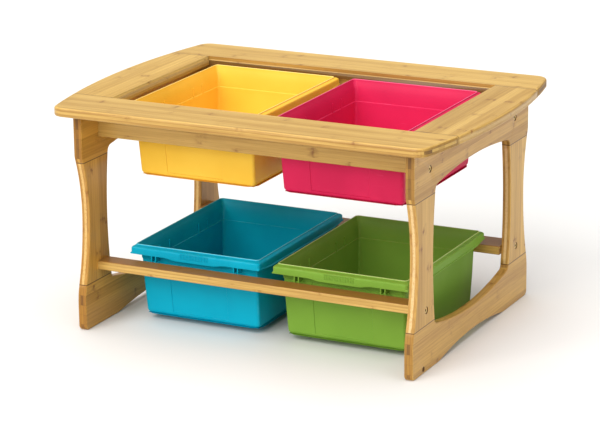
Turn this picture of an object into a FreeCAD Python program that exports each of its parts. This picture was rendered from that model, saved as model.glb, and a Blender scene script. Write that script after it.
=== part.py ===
# Children's activity table in laminated bamboo: a framed top with one long opening, two arched end
# panels, aprons, lower rails and four lift-out storage tubs that hang by their rims.
# Frame: millimetres, +X along the table, -Y is the front, +Z up, origin on the floor under the centre.
import FreeCAD, Part
import math
import os
import re

import Sketcher

SIZES = [
    # framed top
    ("table_height", 460, "floor to top surface"),
    ("top_thickness", 18, "thickness of the top boards"),
    ("top_length", 858, "tip to tip, over the bowed ends"),
    ("top_depth", 634, "front edge to back edge"),
    ("end_bow", 36, "rise of the bow at each end of the top"),
    ("top_corner", 28, "plan radius of the top's corners"),
    ("top_round_over", 5, "rounded upper edge of the top"),
    ("soft_edge", 2.5, "rounding of every other visible edge"),
    ("panel_setback", 20.5, "ends of the opening to the inner faces of the end panels"),
    ("long_board_width", 114.5, "front and back boards of the top, front to back"),
    ("rabbet_drop", 8, "depth of the step inside the opening"),
    ("rabbet_ledge", 3, "width of the step inside the opening"),
    # end panels
    ("end_overhang", 65.5, "tips of the top beyond the end panels"),
    ("panel_thickness", 18, "thickness of the end panel boards"),
    ("front_overhang", 29.5, "front edge of the top beyond the end panels"),
    ("waist_inset", 21.2, "waist of a panel in from its shoulder"),
    ("foot_spread", 4.5, "foot of a panel out from its shoulder"),
    ("waist_height", 235, "height of the waist"),
    ("shoulder_drop", 105, "top surface down to where the panel starts to narrow"),
    ("shoulder_round", 25, "rounding of the outline at the shoulder"),
    ("upper_joint_drop", 117, "top surface down to the joint of legs and upper board"),
    ("lower_joint_height", 93, "joint between legs and base board"),
    ("foot_height", 54, "top of the straight part of the foot"),
    ("foot_corner", 10, "radius of the foot's lower corners"),
    ("window_inset", 100.5, "window in from the panel's shoulder at both joints"),
    ("window_belly", 9, "how far the window widens between its joints"),
    ("arch_drop", 90, "top surface down to the highest point of the window"),
    ("arch_corner", 14, "radius of the window's upper corners"),
    ("sill_dip", 63.6, "lowest point of the window"),
    ("sill_corner", 10, "radius of the window's lower corners"),
    ("foot_length", 128, "length of each foot, before the gap under the base board"),
    ("base_arch_rise", 14.7, "height of the gap under the base board"),
    ("base_arch_blend", 50, "rounding where the gap meets the feet"),
    # aprons, rails and tub ledges
    ("apron_height", 58, "height of the front and back aprons"),
    ("apron_thickness", 18, "thickness of the aprons"),
    ("apron_setback", 11, "opening's edge to the middle of an apron"),
    ("rail_thickness", 18, "thickness of the lower rails"),
    ("rail_height", 122.5, "middle of the lower rails above the floor"),
    ("rail_inset", 47.5, "outer edges of the lower rails in from the panel's shoulder"),
    ("front_rail_width", 39, "front lower rail, front to back"),
    ("ledge_height", 16, "height of the ledges that carry the upper tubs"),
    ("ledge_gap", 5, "ledge ends to the end panels"),
    ("ledge_bearing", 4, "overlap of a tub rim on its ledge"),
    # fasteners
    ("bolt_diameter", 6, "shank of the frame bolts"),
    ("bolt_clearance", 0.3, "radial clearance round a bolt"),
    ("bolt_length", 62, "shank length of the frame bolts"),
    ("bolt_head_diameter", 11.5, "head of the frame bolts"),
    ("bolt_head_height", 3.5, "head of the frame bolts"),
    ("bolt_socket", 4, "hexagon socket across flats"),
    ("counterbore_diameter", 13.5, "recess for a bolt head"),
    ("counterbore_depth", 5, "recess for a bolt head"),
    ("nut_diameter", 10, "barrel nut"),
    ("nut_length", 14, "barrel nut"),
    ("nut_setback", 38, "barrel nut axis from the end of its board"),
    ("apron_bolt_drop", 65, "top surface down to the apron bolts"),
    ("rail_bolt_inset", 12, "rail bolts in from the rails' outer edges"),
    ("dowel_diameter", 8, "wooden dowels"),
    ("dowel_half_length", 18, "dowel length each side of a joint between boards"),
    ("dowel_in_panel", 11, "dowel depth into the face of a panel or the top"),
    ("dowel_margin", 20, "first dowel of a joint from the edge of its opening"),
    ("panel_dowel_pitch", 35, "between the two dowels of a joint in an end panel"),
    ("top_dowel_margin", 24, "first dowel of a top joint from the opening"),
    ("top_dowel_pitch", 40, "between the two dowels of a joint in the top"),
    ("panel_top_dowel_half", 121, "dowels between an end panel and the top, from the middle"),
    ("apron_top_dowel_inset", 85.5, "dowels between an apron and the top, from the panel"),
    ("bolt_end_room", 2, "hole runs past the bolt's end"),
    ("socket_floor", 1, "metal left under a bolt's socket"),
    ("screw_diameter", 4, "wood screws in the ledges"),
    ("screw_length", 30, "wood screws in the ledges"),
    ("screw_head", 8, "wood screw head"),
    ("screw_end_room", 3, "wood left beyond a screw's tip"),
    ("access_hole_diameter", 10, "blind hole near the right foot"),
    ("access_hole_depth", 8, "blind hole near the right foot"),
    ("access_hole_inset", 51, "blind hole in from the front of the foot"),
    ("access_hole_height", 9, "blind hole above the floor"),
    # tubs
    ("tub_side_room", 16.3, "tub rims to the step inside the opening, along X"),
    ("tub_end_room", 4.5, "tub rims to the step inside the opening, along Y"),
    ("tub_height", 150, "outside height"),
    ("tub_wall", 3, "plastic thickness"),
    ("rim_overhang_side", 10, "rim beyond the body at the sides"),
    ("rim_overhang_end", 13, "rim beyond the body at front and back"),
    ("rim_drop", 22, "rim's top to the lower edge of its side skirts and grips"),
    ("fascia_drop", 18.5, "rim's top to the lower edge of its front and back skirts"),
    ("rim_slope", 4, "fall of the rim from its inner ridge to its outer edge"),
    ("rim_corner", 13, "plan radius of the rim"),
    ("grip_bulge", 2, "how far the grips stand out from the rim"),
    ("grip_half", 62, "half length of a grip"),
    ("neck_depth", 21, "rim's top to the neck, where the body stops narrowing quickly"),
    ("neck_step_side", 5.7, "body narrows by this to the neck, each side"),
    ("neck_step_end", 6, "body narrows by this to the neck, front and back"),
    ("side_taper", 4, "each side wall leans in by this from the neck to the foot"),
    ("end_taper", 13, "front and back walls lean in by this from the neck to the foot"),
    ("tub_floor_corner", 9, "rounding round the tub's bottom"),
    ("hang_depth", 31, "rim's top to the bottom of its ribs, which bear"),
    ("rib_half_spacing", 92, "middle of a pair of ribs from the tub's middle"),
    ("rib_gap", 9, "spacing of the ribs in a pair"),
    ("rib_thickness", 2.5, "thickness of a rib"),
    ("tub_gap", 22.6, "between neighbouring tubs"),
    ("tub_top_drop", 11, "top surface down to the upper tubs' rims"),
    ("lower_tub_shift", 11.4, "lower pair of tubs towards +X"),
    ("lower_tub_bearing", 3, "overlap of a tub rim on the front rail"),
    ("rest_gap", 0.2, "tub ribs above what they bear on"),
]

# Values worked out from the driving sizes, as formulas on their names.
DERIVED = {
    "FRAME_LENGTH": "(top_length - 2 * end_overhang)",
    "OPENING_LENGTH": "(FRAME_LENGTH - 2 * panel_thickness - 2 * panel_setback)",
    "OPENING_DEPTH": "(top_depth - 2 * long_board_width)",
    "SHOULDER_HALF": "(top_depth / 2 - front_overhang)",
    "WAIST_HALF": "(SHOULDER_HALF - waist_inset)",
    "FOOT_HALF": "(SHOULDER_HALF + foot_spread)",
    "WINDOW_HALF": "(SHOULDER_HALF - window_inset)",
    "BASE_ARCH_HALF": "(FOOT_HALF - foot_length)",
    "UPPER_JOINT_Z": "(table_height - upper_joint_drop)",
    "ARCH_CREST_Z": "(table_height - arch_drop)",
    "APRON_HALF": "(OPENING_DEPTH / 2 + apron_setback)",
    "RAIL_OUTER": "(SHOULDER_HALF - rail_inset)",
    "TUB_LENGTH": "((OPENING_LENGTH - tub_gap) / 2 - rabbet_ledge - tub_side_room)",
    "TUB_DEPTH": "(OPENING_DEPTH - 2 * rabbet_ledge - 2 * tub_end_room)",
    "TUB_SPACING": "(TUB_LENGTH + tub_gap)",
    "LOWER_TUB_Y": "(RIM_Y - lower_tub_bearing - (RAIL_OUTER - front_rail_width))",
    "BACK_RAIL_WIDTH": "(RAIL_OUTER - (RIM_Y + LOWER_TUB_Y - lower_tub_bearing))",
    "TOP_UNDER": "(table_height - top_thickness)",
    "PANEL_IN": "(FRAME_LENGTH / 2 - panel_thickness)",
    "SHOULDER_Z": "(table_height - shoulder_drop)",
    "SHOULDER_R": "(((table_height - shoulder_drop - waist_height)^2 + waist_inset^2)"
                  " / (2 * waist_inset))",
    "APRON_IN": "(APRON_HALF - apron_thickness / 2)",
    "RAIL_TOP": "(rail_height + rail_thickness / 2)",
    "LEDGE_TOP": "(table_height - tub_top_drop - hang_depth - rest_gap)",
    "LEDGE_IN": "(TUB_DEPTH / 2 - grip_bulge - ledge_bearing)",
    "BOW_R": "((top_depth^2 / 4 + end_bow^2) / (2 * end_bow))",
    "APRON_BOLT_Z": "(table_height - apron_bolt_drop)",
    "APRON_DOWEL_Z": "(table_height - top_thickness - dowel_diameter * 2)",
    "RAIL_BOLT_Y": "(RAIL_OUTER - rail_bolt_inset)",
    "BODY_X": "(TUB_LENGTH / 2 - rim_overhang_side)",
    "BODY_Y": "(TUB_DEPTH / 2 - rim_overhang_end)",
    "RIM_Y": "(TUB_DEPTH / 2 - grip_bulge)",
    "NECK_X": "(TUB_LENGTH / 2 - rim_overhang_side - neck_step_side)",
    "NECK_Y": "(TUB_DEPTH / 2 - rim_overhang_end - neck_step_end)",
}

TINY = 0.01
ALIASES = sorted((alias for alias, _, _ in SIZES), key=len, reverse=True)
ALIAS_WORD = re.compile(r"\b(" + "|".join(ALIASES) + r")\b")
DERIVED_WORD = re.compile(r"\b(" + "|".join(DERIVED) + r")\b")

doc = FreeCAD.newDocument("activity_table")
sheet = doc.addObject("Spreadsheet::Sheet", "Sizes")
for row, (alias, number, note) in enumerate(SIZES, start=1):
    sheet.set(f"A{row}", note)
    sheet.set(f"B{row}", str(number))
    sheet.setAlias(f"B{row}", alias)
doc.recompute()


def formula(text):
    """A formula on size names, written as an expression on the spreadsheet."""
    text = str(text)
    while DERIVED_WORD.search(text):
        text = DERIVED_WORD.sub(lambda word: DERIVED[word.group(1)], text)
    return ALIAS_WORD.sub(r"Sizes.\1", text)


def value(text):
    """The number that a formula gives with the present sizes."""
    return float(sheet.evalExpression(formula(text)))


def bind(obj, **sizes):
    """Tie properties to formulas; a double underscore stands for a dot in the property's path."""
    for path, text in sizes.items():
        obj.setExpression(path.replace("__", "."), formula(text))


def place(obj, x=None, y=None, z=None):
    """Tie an object's position to formulas."""
    for axis, text in (("x", x), ("y", y), ("z", z)):
        if text is not None:
            obj.setExpression(f"Placement.Base.{axis}", formula(text))


# ---------------------------------------------------------------- sketches and bodies

def new_body(name):
    return doc.addObject("PartDesign::Body", name)


def new_sketch(body, plane, height=None):
    """An empty sketch on one of the body's own planes, lifted along the plane's normal."""
    sketch = body.newObject("Sketcher::SketchObject", body.Name + "_sketch")
    origin_plane = [item for item in body.Origin.OriginFeatures if item.Role == plane][0]
    sketch.AttachmentSupport = [(origin_plane, "")]
    sketch.MapMode = "FlatFace"
    if height is not None:
        sketch.setExpression("AttachmentOffset.Base.z", formula(height))
    return sketch


def arc_through(start, end, radius, turn):
    """The short arc from start to end; turn is +1 anticlockwise and -1 clockwise."""
    (ax, ay), (bx, by) = start, end
    chord = math.hypot(bx - ax, by - ay)
    rise = math.sqrt(max(radius ** 2 - chord ** 2 / 4, 0.0))
    centre_x = (ax + bx) / 2 - turn * rise * (by - ay) / chord
    centre_y = (ay + by) / 2 + turn * rise * (bx - ax) / chord
    angle_a = math.atan2(ay - centre_y, ax - centre_x)
    angle_b = math.atan2(by - centre_y, bx - centre_x)
    if turn < 0:
        angle_a, angle_b = angle_b, angle_a
    circle = Part.Circle(FreeCAD.Vector(centre_x, centre_y, 0), FreeCAD.Vector(0, 0, 1), radius)
    return Part.ArcOfCircle(circle, angle_a, angle_b)


def draw(sketch, corners):
    """Add one closed outline. A corner is (x, y) when a line leads to the next corner, or
    (x, y, radius, turn) when an arc does. Every corner and radius is tied to its formula."""
    points = [(value(corner[0]), value(corner[1])) for corner in corners]
    ends = []
    for index, corner in enumerate(corners):
        start = points[index]
        end = points[(index + 1) % len(points)]
        if len(corner) == 2:
            line = Part.LineSegment(FreeCAD.Vector(*start, 0), FreeCAD.Vector(*end, 0))
            ends.append((sketch.addGeometry(line), 1, 2))
        else:
            turn = corner[3]
            geometry = sketch.addGeometry(arc_through(start, end, value(corner[2]), turn))
            ends.append((geometry, 1, 2) if turn > 0 else (geometry, 2, 1))
    for index, corner in enumerate(corners):
        geometry, first, last = ends[index]
        after, after_first, _ = ends[(index + 1) % len(ends)]
        sketch.addConstraint(Sketcher.Constraint("Coincident", geometry, last, after, after_first))
        for kind, number, text in zip(("DistanceX", "DistanceY"), points[index], corner[:2]):
            made = sketch.addConstraint(Sketcher.Constraint(kind, -1, 1, geometry, first, number))
            sketch.setExpression(f"Constraints[{made}]", formula(text))
        if len(corner) > 2:
            radius = Sketcher.Constraint("Radius", geometry, value(corner[2]))
            made = sketch.addConstraint(radius)
            sketch.setExpression(f"Constraints[{made}]", formula(corner[2]))
    return sketch


def minus(text):
    return f"-({text})"


def mirrored(half):
    """Close an outline given from its lowest to its highest point on the +X side of the sketch."""
    other = []
    for index in range(len(half) - 1, -1, -1):
        corner = (minus(half[index][0]), half[index][1])
        if index > 0 and len(half[index - 1]) > 2:
            corner += half[index - 1][2:]
        other.append(corner)
    return half + other


def rectangle(half_x, half_y, corner_radius):
    """Rounded rectangle about the sketch's origin."""
    inner_x = f"{half_x} - {corner_radius}"
    inner_y = f"{half_y} - {corner_radius}"
    return [
        (inner_x, minus(half_y), corner_radius, 1), (half_x, minus(inner_y)),
        (half_x, inner_y, corner_radius, 1), (inner_x, half_y),
        (minus(inner_x), half_y, corner_radius, 1), (minus(half_x), inner_y),
        (minus(half_x), minus(inner_y), corner_radius, 1), (minus(inner_x), minus(half_y)),
    ]


def add_pad(body, sketch, length):
    pad = body.newObject("PartDesign::Pad", body.Name + "_pad")
    pad.Profile = sketch
    bind(pad, Length=length)
    doc.recompute()
    return pad


def round_edges(body, radius, chosen):
    """Fillet the edges of the body's last feature for which chosen(edge) is true."""
    base = body.Tip
    names = [f"Edge{i}" for i, edge in enumerate(base.Shape.Edges, start=1) if chosen(edge)]
    fillet = body.newObject("PartDesign::Fillet", body.Name + "_fillet")
    fillet.Base = (base, names)
    bind(fillet, Radius=radius)
    doc.recompute()
    return fillet


def extent(edge):
    """Lowest and highest corners of an edge, along its curve."""
    points = edge.discretize(9)
    low = [min(point[axis] for point in points) for axis in range(3)]
    high = [max(point[axis] for point in points) for axis in range(3)]
    return low, high


# ---------------------------------------------------------------- round stock: dowels, bolts, tools

AXIS_TURN = {
    "X": FreeCAD.Rotation(FreeCAD.Vector(0, 1, 0), 90),
    "Y": FreeCAD.Rotation(FreeCAD.Vector(1, 0, 0), -90),
    "Z": FreeCAD.Rotation(),
    "-X": FreeCAD.Rotation(FreeCAD.Vector(0, 1, 0), -90),
}


def rod(name, axis, start, diameter, length):
    """A cylinder that begins at start and runs along axis."""
    cylinder = doc.addObject("Part::Cylinder", name)
    cylinder.Placement = FreeCAD.Placement(FreeCAD.Vector(), AXIS_TURN[axis])
    bind(cylinder, Radius=f"({diameter}) / 2", Height=length)
    place(cylinder, *start)
    return cylinder


def group(name, items):
    """Several separate solids as one object."""
    compound = doc.addObject("Part::Compound", name)
    compound.Links = items
    return compound


def cut(name, base, tools):
    """Base with every tool taken out of it."""
    tool = tools[0] if len(tools) == 1 else group(name + "_tools", tools)
    result = doc.addObject("Part::Cut", name)
    result.Base = base
    result.Tool = tool
    return result


ENDS = {"left": -1, "right": 1}
SIDES = {"front": -1, "back": 1}
SIGN = {-1: "-1 * ", 1: ""}
OUTWARD = {-1: "-X", 1: "X"}
INWARD = {-1: "X", 1: "-X"}


def signed(sign, text):
    return f"{SIGN[sign]}({text})"


def half_way(text):
    return f"({text}) / 2"


PANEL_MIDDLE = "(FRAME_LENGTH - panel_thickness) / 2"
JOINT_DOWELS_Y = ("(WINDOW_HALF + dowel_margin)",
                  "(WINDOW_HALF + dowel_margin + panel_dowel_pitch)")
TOP_DOWELS_X = ("(OPENING_LENGTH / 2 + top_dowel_margin)",
                "(OPENING_LENGTH / 2 + top_dowel_margin + top_dowel_pitch)")
PANEL_TOP_DOWEL_Y = "panel_top_dowel_half"
APRON_TOP_DOWEL_X = "(PANEL_IN - apron_top_dowel_inset)"


def panel_dowels(end):
    """Glued dowels that join each leg to the upper board and to the base board."""
    rods = []
    for side_sign in SIDES.values():
        for joint in ("UPPER_JOINT_Z", "lower_joint_height"):
            for offset in JOINT_DOWELS_Y:
                start = (signed(ENDS[end], PANEL_MIDDLE), signed(side_sign, offset),
                         f"{joint} - dowel_half_length")
                rods.append(rod(f"{end}_joint_dowel", "Z", start, "dowel_diameter",
                                "2 * dowel_half_length"))
    return group(f"{end}_panel_dowels", rods)


def top_frame_dowels():
    """Dowels across the joints between the long and the short top boards."""
    rods = []
    for end_sign in ENDS.values():
        for side_sign in SIDES.values():
            for offset in TOP_DOWELS_X:
                middle = signed(side_sign, half_way("OPENING_DEPTH"))
                start = (signed(end_sign, offset), f"{middle} - dowel_half_length",
                         "table_height - top_thickness / 2")
                rods.append(rod("top_joint_dowel", "Y", start, "dowel_diameter",
                                "2 * dowel_half_length"))
    return group("top_frame_dowels", rods)


def top_fixing_dowels():
    """Upright dowels that hold the framed top on the panels and the aprons."""
    spots = []
    for end_sign in ENDS.values():
        for side_sign in SIDES.values():
            spots.append((signed(end_sign, PANEL_MIDDLE), signed(side_sign, PANEL_TOP_DOWEL_Y)))
            spots.append((signed(end_sign, APRON_TOP_DOWEL_X), signed(side_sign, "APRON_HALF")))
    start_z = "TOP_UNDER - dowel_half_length"
    rods = [rod("top_fixing_dowel", "Z", (x, y, start_z), "dowel_diameter",
                "dowel_half_length + dowel_in_panel") for x, y in spots]
    return group("top_fixing_dowels", rods)


def end_dowels(name, spots):
    """Dowels that locate the ends of aprons or rails on the inner faces of the panels."""
    rods = []
    for end_sign in ENDS.values():
        for y, z in spots:
            start = (signed(end_sign, "PANEL_IN + dowel_in_panel"), y, z)
            rods.append(rod(name + "_dowel", INWARD[end_sign], start, "dowel_diameter",
                            "dowel_in_panel + dowel_half_length"))
    return group(name, rods)


def bolts(name, spots):
    """Socket-head bolts that run from the panels' outer faces into the ends of the boards."""
    items = []
    for end_sign in ENDS.values():
        for y, z in spots:
            seat = signed(end_sign, "FRAME_LENGTH / 2 - counterbore_depth")
            head = rod(name + "_head", OUTWARD[end_sign], (seat, y, z), "bolt_head_diameter",
                       "bolt_head_height")
            shank = rod(name + "_shank", INWARD[end_sign], (seat, y, z), "bolt_diameter",
                        "bolt_length")
            socket = doc.addObject("Part::Prism", name + "_socket")
            socket.Polygon = 6
            socket.Placement = FreeCAD.Placement(FreeCAD.Vector(), AXIS_TURN[OUTWARD[end_sign]])
            bind(socket, Circumradius="bolt_socket / sqrt(3)", Height="bolt_head_height")
            floor_x = signed(end_sign, "FRAME_LENGTH / 2 - counterbore_depth + socket_floor")
            place(socket, floor_x, y, z)
            whole = doc.addObject("Part::Fuse", name + "_blank")
            whole.Base = head
            whole.Tool = shank
            items.append(cut(name + "_bolt", whole, [socket]))
    return group(name, items)


def bolt_holes(name, spots, end_signs=(-1, 1)):
    """Cutting tools for the bolts: clearance bore and counterbore."""
    tools = []
    for end_sign in end_signs:
        for y, z in spots:
            outer = signed(end_sign, "FRAME_LENGTH / 2")
            tools.append(rod(name + "_recess", INWARD[end_sign], (outer, y, z),
                             "counterbore_diameter", "counterbore_depth"))
            tools.append(rod(name + "_bore", INWARD[end_sign], (outer, y, z),
                             "bolt_diameter + 2 * bolt_clearance",
                             "counterbore_depth + bolt_length + bolt_end_room"))
    return tools


NUT_X = "(PANEL_IN - nut_setback)"


def barrel_nuts(name, spots, axis):
    """Barrel nuts across the boards, each with the bolt's bore through it."""
    items = []
    for end_sign in ENDS.values():
        for y, z in spots:
            along_y = f"{y} - nut_length / 2" if axis == "Y" else y
            along_z = f"{z} - nut_length / 2" if axis == "Z" else z
            blank = rod(name + "_blank", axis, (signed(end_sign, NUT_X), along_y, along_z),
                        "nut_diameter", "nut_length")
            bore = rod(name + "_bore", "X", (f"{signed(end_sign, NUT_X)} - nut_diameter", y, z),
                       "bolt_diameter", "2 * nut_diameter")
            items.append(cut(name + "_nut", blank, [bore]))
    return group(name, items)


def nut_holes(name, spots, axis):
    """Cutting tools for the barrel nuts; they open on the hidden face of the board."""
    tools = []
    for end_sign in ENDS.values():
        for y, z, sign in spots:
            length = "nut_length / 2 + max(apron_thickness; rail_thickness)"
            shift = "nut_length / 2" if sign > 0 else f"{length} - nut_length / 2"
            along_y = f"{y} - ({shift})" if axis == "Y" else y
            along_z = f"{z} - ({shift})" if axis == "Z" else z
            tools.append(rod(name + "_seat", axis, (signed(end_sign, NUT_X), along_y, along_z),
                             "nut_diameter", length))
    return tools


# ---------------------------------------------------------------- end panels

def outer_edge(height):
    """Half depth of the panel's outline where it crosses a joint between waist and shoulder."""
    return f"(WAIST_HALF + SHOULDER_R - sqrt(SHOULDER_R^2 - ({height} - waist_height)^2))"


# The lower flank is one arc from the waist to the joint, then a reverse arc into the straight foot.
FLANK_SPAN = "(waist_height - foot_height)"
FLANK_STEP = "(FOOT_HALF - WAIST_HALF)"
FLANK_JOIN = "((waist_height - lower_joint_height) / (waist_height - foot_height))"
FLANK_SUM = f"(({FLANK_SPAN}^2 + {FLANK_STEP}^2) / (2 * {FLANK_STEP}))"
FLANK_R = f"({FLANK_SUM} * {FLANK_JOIN})"
REVERSE_R = f"({FLANK_SUM} * (1 - {FLANK_JOIN}))"
FLANK_Y = f"(WAIST_HALF + {FLANK_STEP} * {FLANK_JOIN})"

ARCH_R = ("(((WINDOW_HALF - arch_corner)^2 + (ARCH_CREST_Z - UPPER_JOINT_Z)^2 - arch_corner^2)"
          " / (2 * (ARCH_CREST_Z - UPPER_JOINT_Z - arch_corner)))")
ARCH_RATIO = f"({ARCH_R} / ({ARCH_R} - arch_corner))"
SILL_R = ("(((WINDOW_HALF - sill_corner)^2 + (lower_joint_height - sill_dip)^2 - sill_corner^2)"
          " / (2 * (lower_joint_height - sill_dip - sill_corner)))")
SILL_RATIO = f"({SILL_R} / ({SILL_R} - sill_corner))"
WINDOW_R = ("(((UPPER_JOINT_Z - lower_joint_height)^2 / 4 + window_belly^2)"
            " / (2 * window_belly))")
BASE_ARCH_R = "((BASE_ARCH_HALF^2 + base_arch_rise^2) / (2 * base_arch_rise))"


def on_a_face(low, high):
    """True for an edge that lies in either broad face of a board drawn on the YZ plane."""
    thickness = value("panel_thickness")
    flat = high[0] - low[0] < TINY
    return flat and (abs(low[0]) < TINY or abs(low[0] - thickness) < TINY)


def panel_board(name, end, outline, joints, kink=None):
    """One board of an end panel, drawn on the YZ plane, with its free edges softened.
    A kink is (half depth, height, radius) of a pair of corners in the outline, rounded first."""
    body = new_body(name + "_blank")
    sketch = draw(new_sketch(body, "YZ_Plane"), outline)
    add_pad(body, sketch, "panel_thickness")
    if kink is not None:
        kink_half, kink_height = value(kink[0]), value(kink[1])

        def at_kink(edge):
            low, high = extent(edge)
            across = high[0] - low[0] > TINY
            at_half = abs(abs(low[1]) - kink_half) < TINY and high[1] - low[1] < TINY
            return across and at_half and abs(low[2] - kink_height) < TINY

        round_edges(body, kink[2], at_kink)
    joint_heights = [value(joint) for joint in joints]

    def free_edge(edge):
        low, high = extent(edge)
        level = high[2] - low[2] < TINY
        at_joint = level and any(abs(low[2] - height) < TINY for height in joint_heights)
        return on_a_face(low, high) and not at_joint

    round_edges(body, "soft_edge", free_edge)
    offset = "-FRAME_LENGTH / 2" if end == "left" else "PANEL_IN"
    place(body, x=offset)
    return body


def upper_board(end):
    """Arched board under the top, whose ends widen into the shoulders."""
    half = [
        (f"(WINDOW_HALF - arch_corner) * {ARCH_RATIO}",
         f"ARCH_CREST_Z - {ARCH_R} + (UPPER_JOINT_Z - ARCH_CREST_Z + {ARCH_R}) * {ARCH_RATIO}",
         "arch_corner", -1),
        ("WINDOW_HALF", "UPPER_JOINT_Z"),
        (outer_edge("UPPER_JOINT_Z"), "UPPER_JOINT_Z", "SHOULDER_R", -1),
        ("SHOULDER_HALF", "SHOULDER_Z"),
        ("SHOULDER_HALF", "TOP_UNDER"),
    ]
    outline = mirrored(half)
    outline[-1] = outline[-1] + (ARCH_R, -1)
    return panel_board(f"{end}_upper", end, outline, ["UPPER_JOINT_Z", "TOP_UNDER"],
                       ("SHOULDER_HALF", "SHOULDER_Z", "shoulder_round"))


def base_board(end):
    """Board on the floor, dished on top and relieved underneath."""
    half = [
        ("BASE_ARCH_HALF", "0"),
        ("FOOT_HALF - foot_corner", "0", "foot_corner", 1),
        ("FOOT_HALF", "foot_corner"),
        ("FOOT_HALF", "foot_height", REVERSE_R, 1),
        (FLANK_Y, "lower_joint_height"),
        ("WINDOW_HALF", "lower_joint_height", "sill_corner", -1),
        (f"(WINDOW_HALF - sill_corner) * {SILL_RATIO}",
         f"sill_dip + {SILL_R} - (sill_dip + {SILL_R} - lower_joint_height) * {SILL_RATIO}",
         SILL_R, -1),
    ]
    outline = mirrored(half)
    outline[-1] = outline[-1] + (BASE_ARCH_R, -1)
    return panel_board(f"{end}_base", end, outline, ["lower_joint_height"],
                       ("BASE_ARCH_HALF", "0", "base_arch_blend"))


def leg(end, side):
    """Waisted leg between the base board and the upper board."""
    sign = SIDES[side]
    corners = [
        (signed(sign, "WINDOW_HALF"), "lower_joint_height"),
        (signed(sign, FLANK_Y), "lower_joint_height", FLANK_R, -sign),
        (signed(sign, "WAIST_HALF"), "waist_height", "SHOULDER_R", -sign),
        (signed(sign, outer_edge("UPPER_JOINT_Z")), "UPPER_JOINT_Z"),
        (signed(sign, "WINDOW_HALF"), "UPPER_JOINT_Z", WINDOW_R, -sign),
    ]
    joints = ["lower_joint_height", "UPPER_JOINT_Z"]
    return panel_board(f"{end}_{side}_leg", end, corners, joints)


# ---------------------------------------------------------------- framed top

BOW_CENTRE = "(top_length / 2 - BOW_R)"
CORNER_Y = "(top_depth / 2 - top_corner)"
CORNER_X = f"({BOW_CENTRE} + sqrt((BOW_R - top_corner)^2 - {CORNER_Y}^2))"
CORNER_SCALE = "(BOW_R / (BOW_R - top_corner))"


def bow_x(y):
    """Where the bowed end of the top crosses a line of constant y."""
    return f"({BOW_CENTRE} + sqrt(BOW_R^2 - ({y})^2))"


def top_board(name, outline, lip, at_joint):
    """One board of the framed top: a slab plus the thin lip that makes the opening's step."""
    body = new_body(name + "_blank")
    slab = add_pad(body, draw(new_sketch(body, "XY_Plane", "TOP_UNDER"), outline), "top_thickness")
    top, under = value("table_height"), value("TOP_UNDER")

    def outer(edge, level):
        low, high = extent(edge)
        flat = abs(low[2] - level) < TINY and abs(high[2] - level) < TINY
        return flat and not at_joint(low, high)

    round_edges(body, "top_round_over", lambda edge: outer(edge, top))
    round_edges(body, "soft_edge", lambda edge: outer(edge, under))
    if slab.Shape.Volume <= body.Shape.Volume:
        raise RuntimeError(name + " kept its sharp edges")
    add_pad(body, draw(new_sketch(body, "XY_Plane", "TOP_UNDER"), lip), "top_thickness - rabbet_drop")
    return body


def long_top_board(side):
    """Front or back board of the top; it runs the full length and carries the rounded corners."""
    sign = SIDES[side]
    inner = signed(sign, "OPENING_DEPTH / 2")
    tangent_x = f"({BOW_CENTRE} + ({CORNER_X} - {BOW_CENTRE}) * {CORNER_SCALE})"
    tangent_y = signed(sign, f"{CORNER_Y} * {CORNER_SCALE}")
    edge_y = signed(sign, "top_depth / 2")
    end_x = bow_x("OPENING_DEPTH / 2")
    outline = [
        (end_x, inner, "BOW_R", sign), (tangent_x, tangent_y, "top_corner", sign),
        (CORNER_X, edge_y), (minus(CORNER_X), edge_y, "top_corner", sign),
        (minus(tangent_x), tangent_y, "BOW_R", sign), (minus(end_x), inner),
    ]
    lip_y = signed(sign, "OPENING_DEPTH / 2 - rabbet_ledge")
    lip_x = "OPENING_LENGTH / 2"
    lip = [(lip_x, inner), (minus(lip_x), inner), (minus(lip_x), lip_y), (lip_x, lip_y)]
    joint_y = value("OPENING_DEPTH / 2")

    def at_joint(low, high):
        return high[1] - low[1] < TINY and abs(abs(low[1]) - joint_y) < TINY

    return top_board(f"top_{side}", outline, lip, at_joint)


def short_top_board(end):
    """Left or right board of the top, between the long boards, with the bowed outer end."""
    sign = ENDS[end]
    inner_x = signed(sign, "OPENING_LENGTH / 2")
    joint_y = "OPENING_DEPTH / 2"
    end_x = signed(sign, bow_x(joint_y))
    outline = [
        (inner_x, minus(joint_y)), (end_x, minus(joint_y), "BOW_R", sign),
        (end_x, joint_y), (inner_x, joint_y),
    ]
    lip_x = signed(sign, "OPENING_LENGTH / 2 - rabbet_ledge")
    lip_y = "OPENING_DEPTH / 2 - rabbet_ledge"
    lip = [(inner_x, minus(lip_y)), (inner_x, lip_y), (lip_x, lip_y), (lip_x, minus(lip_y))]
    opening_x = value("OPENING_LENGTH / 2")

    def at_joint(low, high):
        across = high[1] - low[1] < TINY
        inside = high[0] - low[0] < TINY and abs(abs(low[0]) - opening_x) < TINY
        return across or inside

    return top_board(f"top_{end}", outline, lip, at_joint)


# ---------------------------------------------------------------- aprons, rails and ledges

def long_board(name, low_y, high_y, low_z, high_z, half_length):
    """A straight board along X, drawn as its cross-section, with its long edges softened."""
    body = new_body(name + "_blank")
    section = [(low_y, low_z), (high_y, low_z), (high_y, high_z), (low_y, high_z)]
    sketch = draw(new_sketch(body, "YZ_Plane"), section)
    add_pad(body, sketch, f"2 * ({half_length})")
    under_top = value("TOP_UNDER")

    def long_edge(edge):
        low, high = extent(edge)
        along = high[1] - low[1] < TINY and high[2] - low[2] < TINY
        return along and abs(low[2] - under_top) > TINY

    round_edges(body, "soft_edge", long_edge)
    place(body, x=minus(half_length))
    return body


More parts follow.
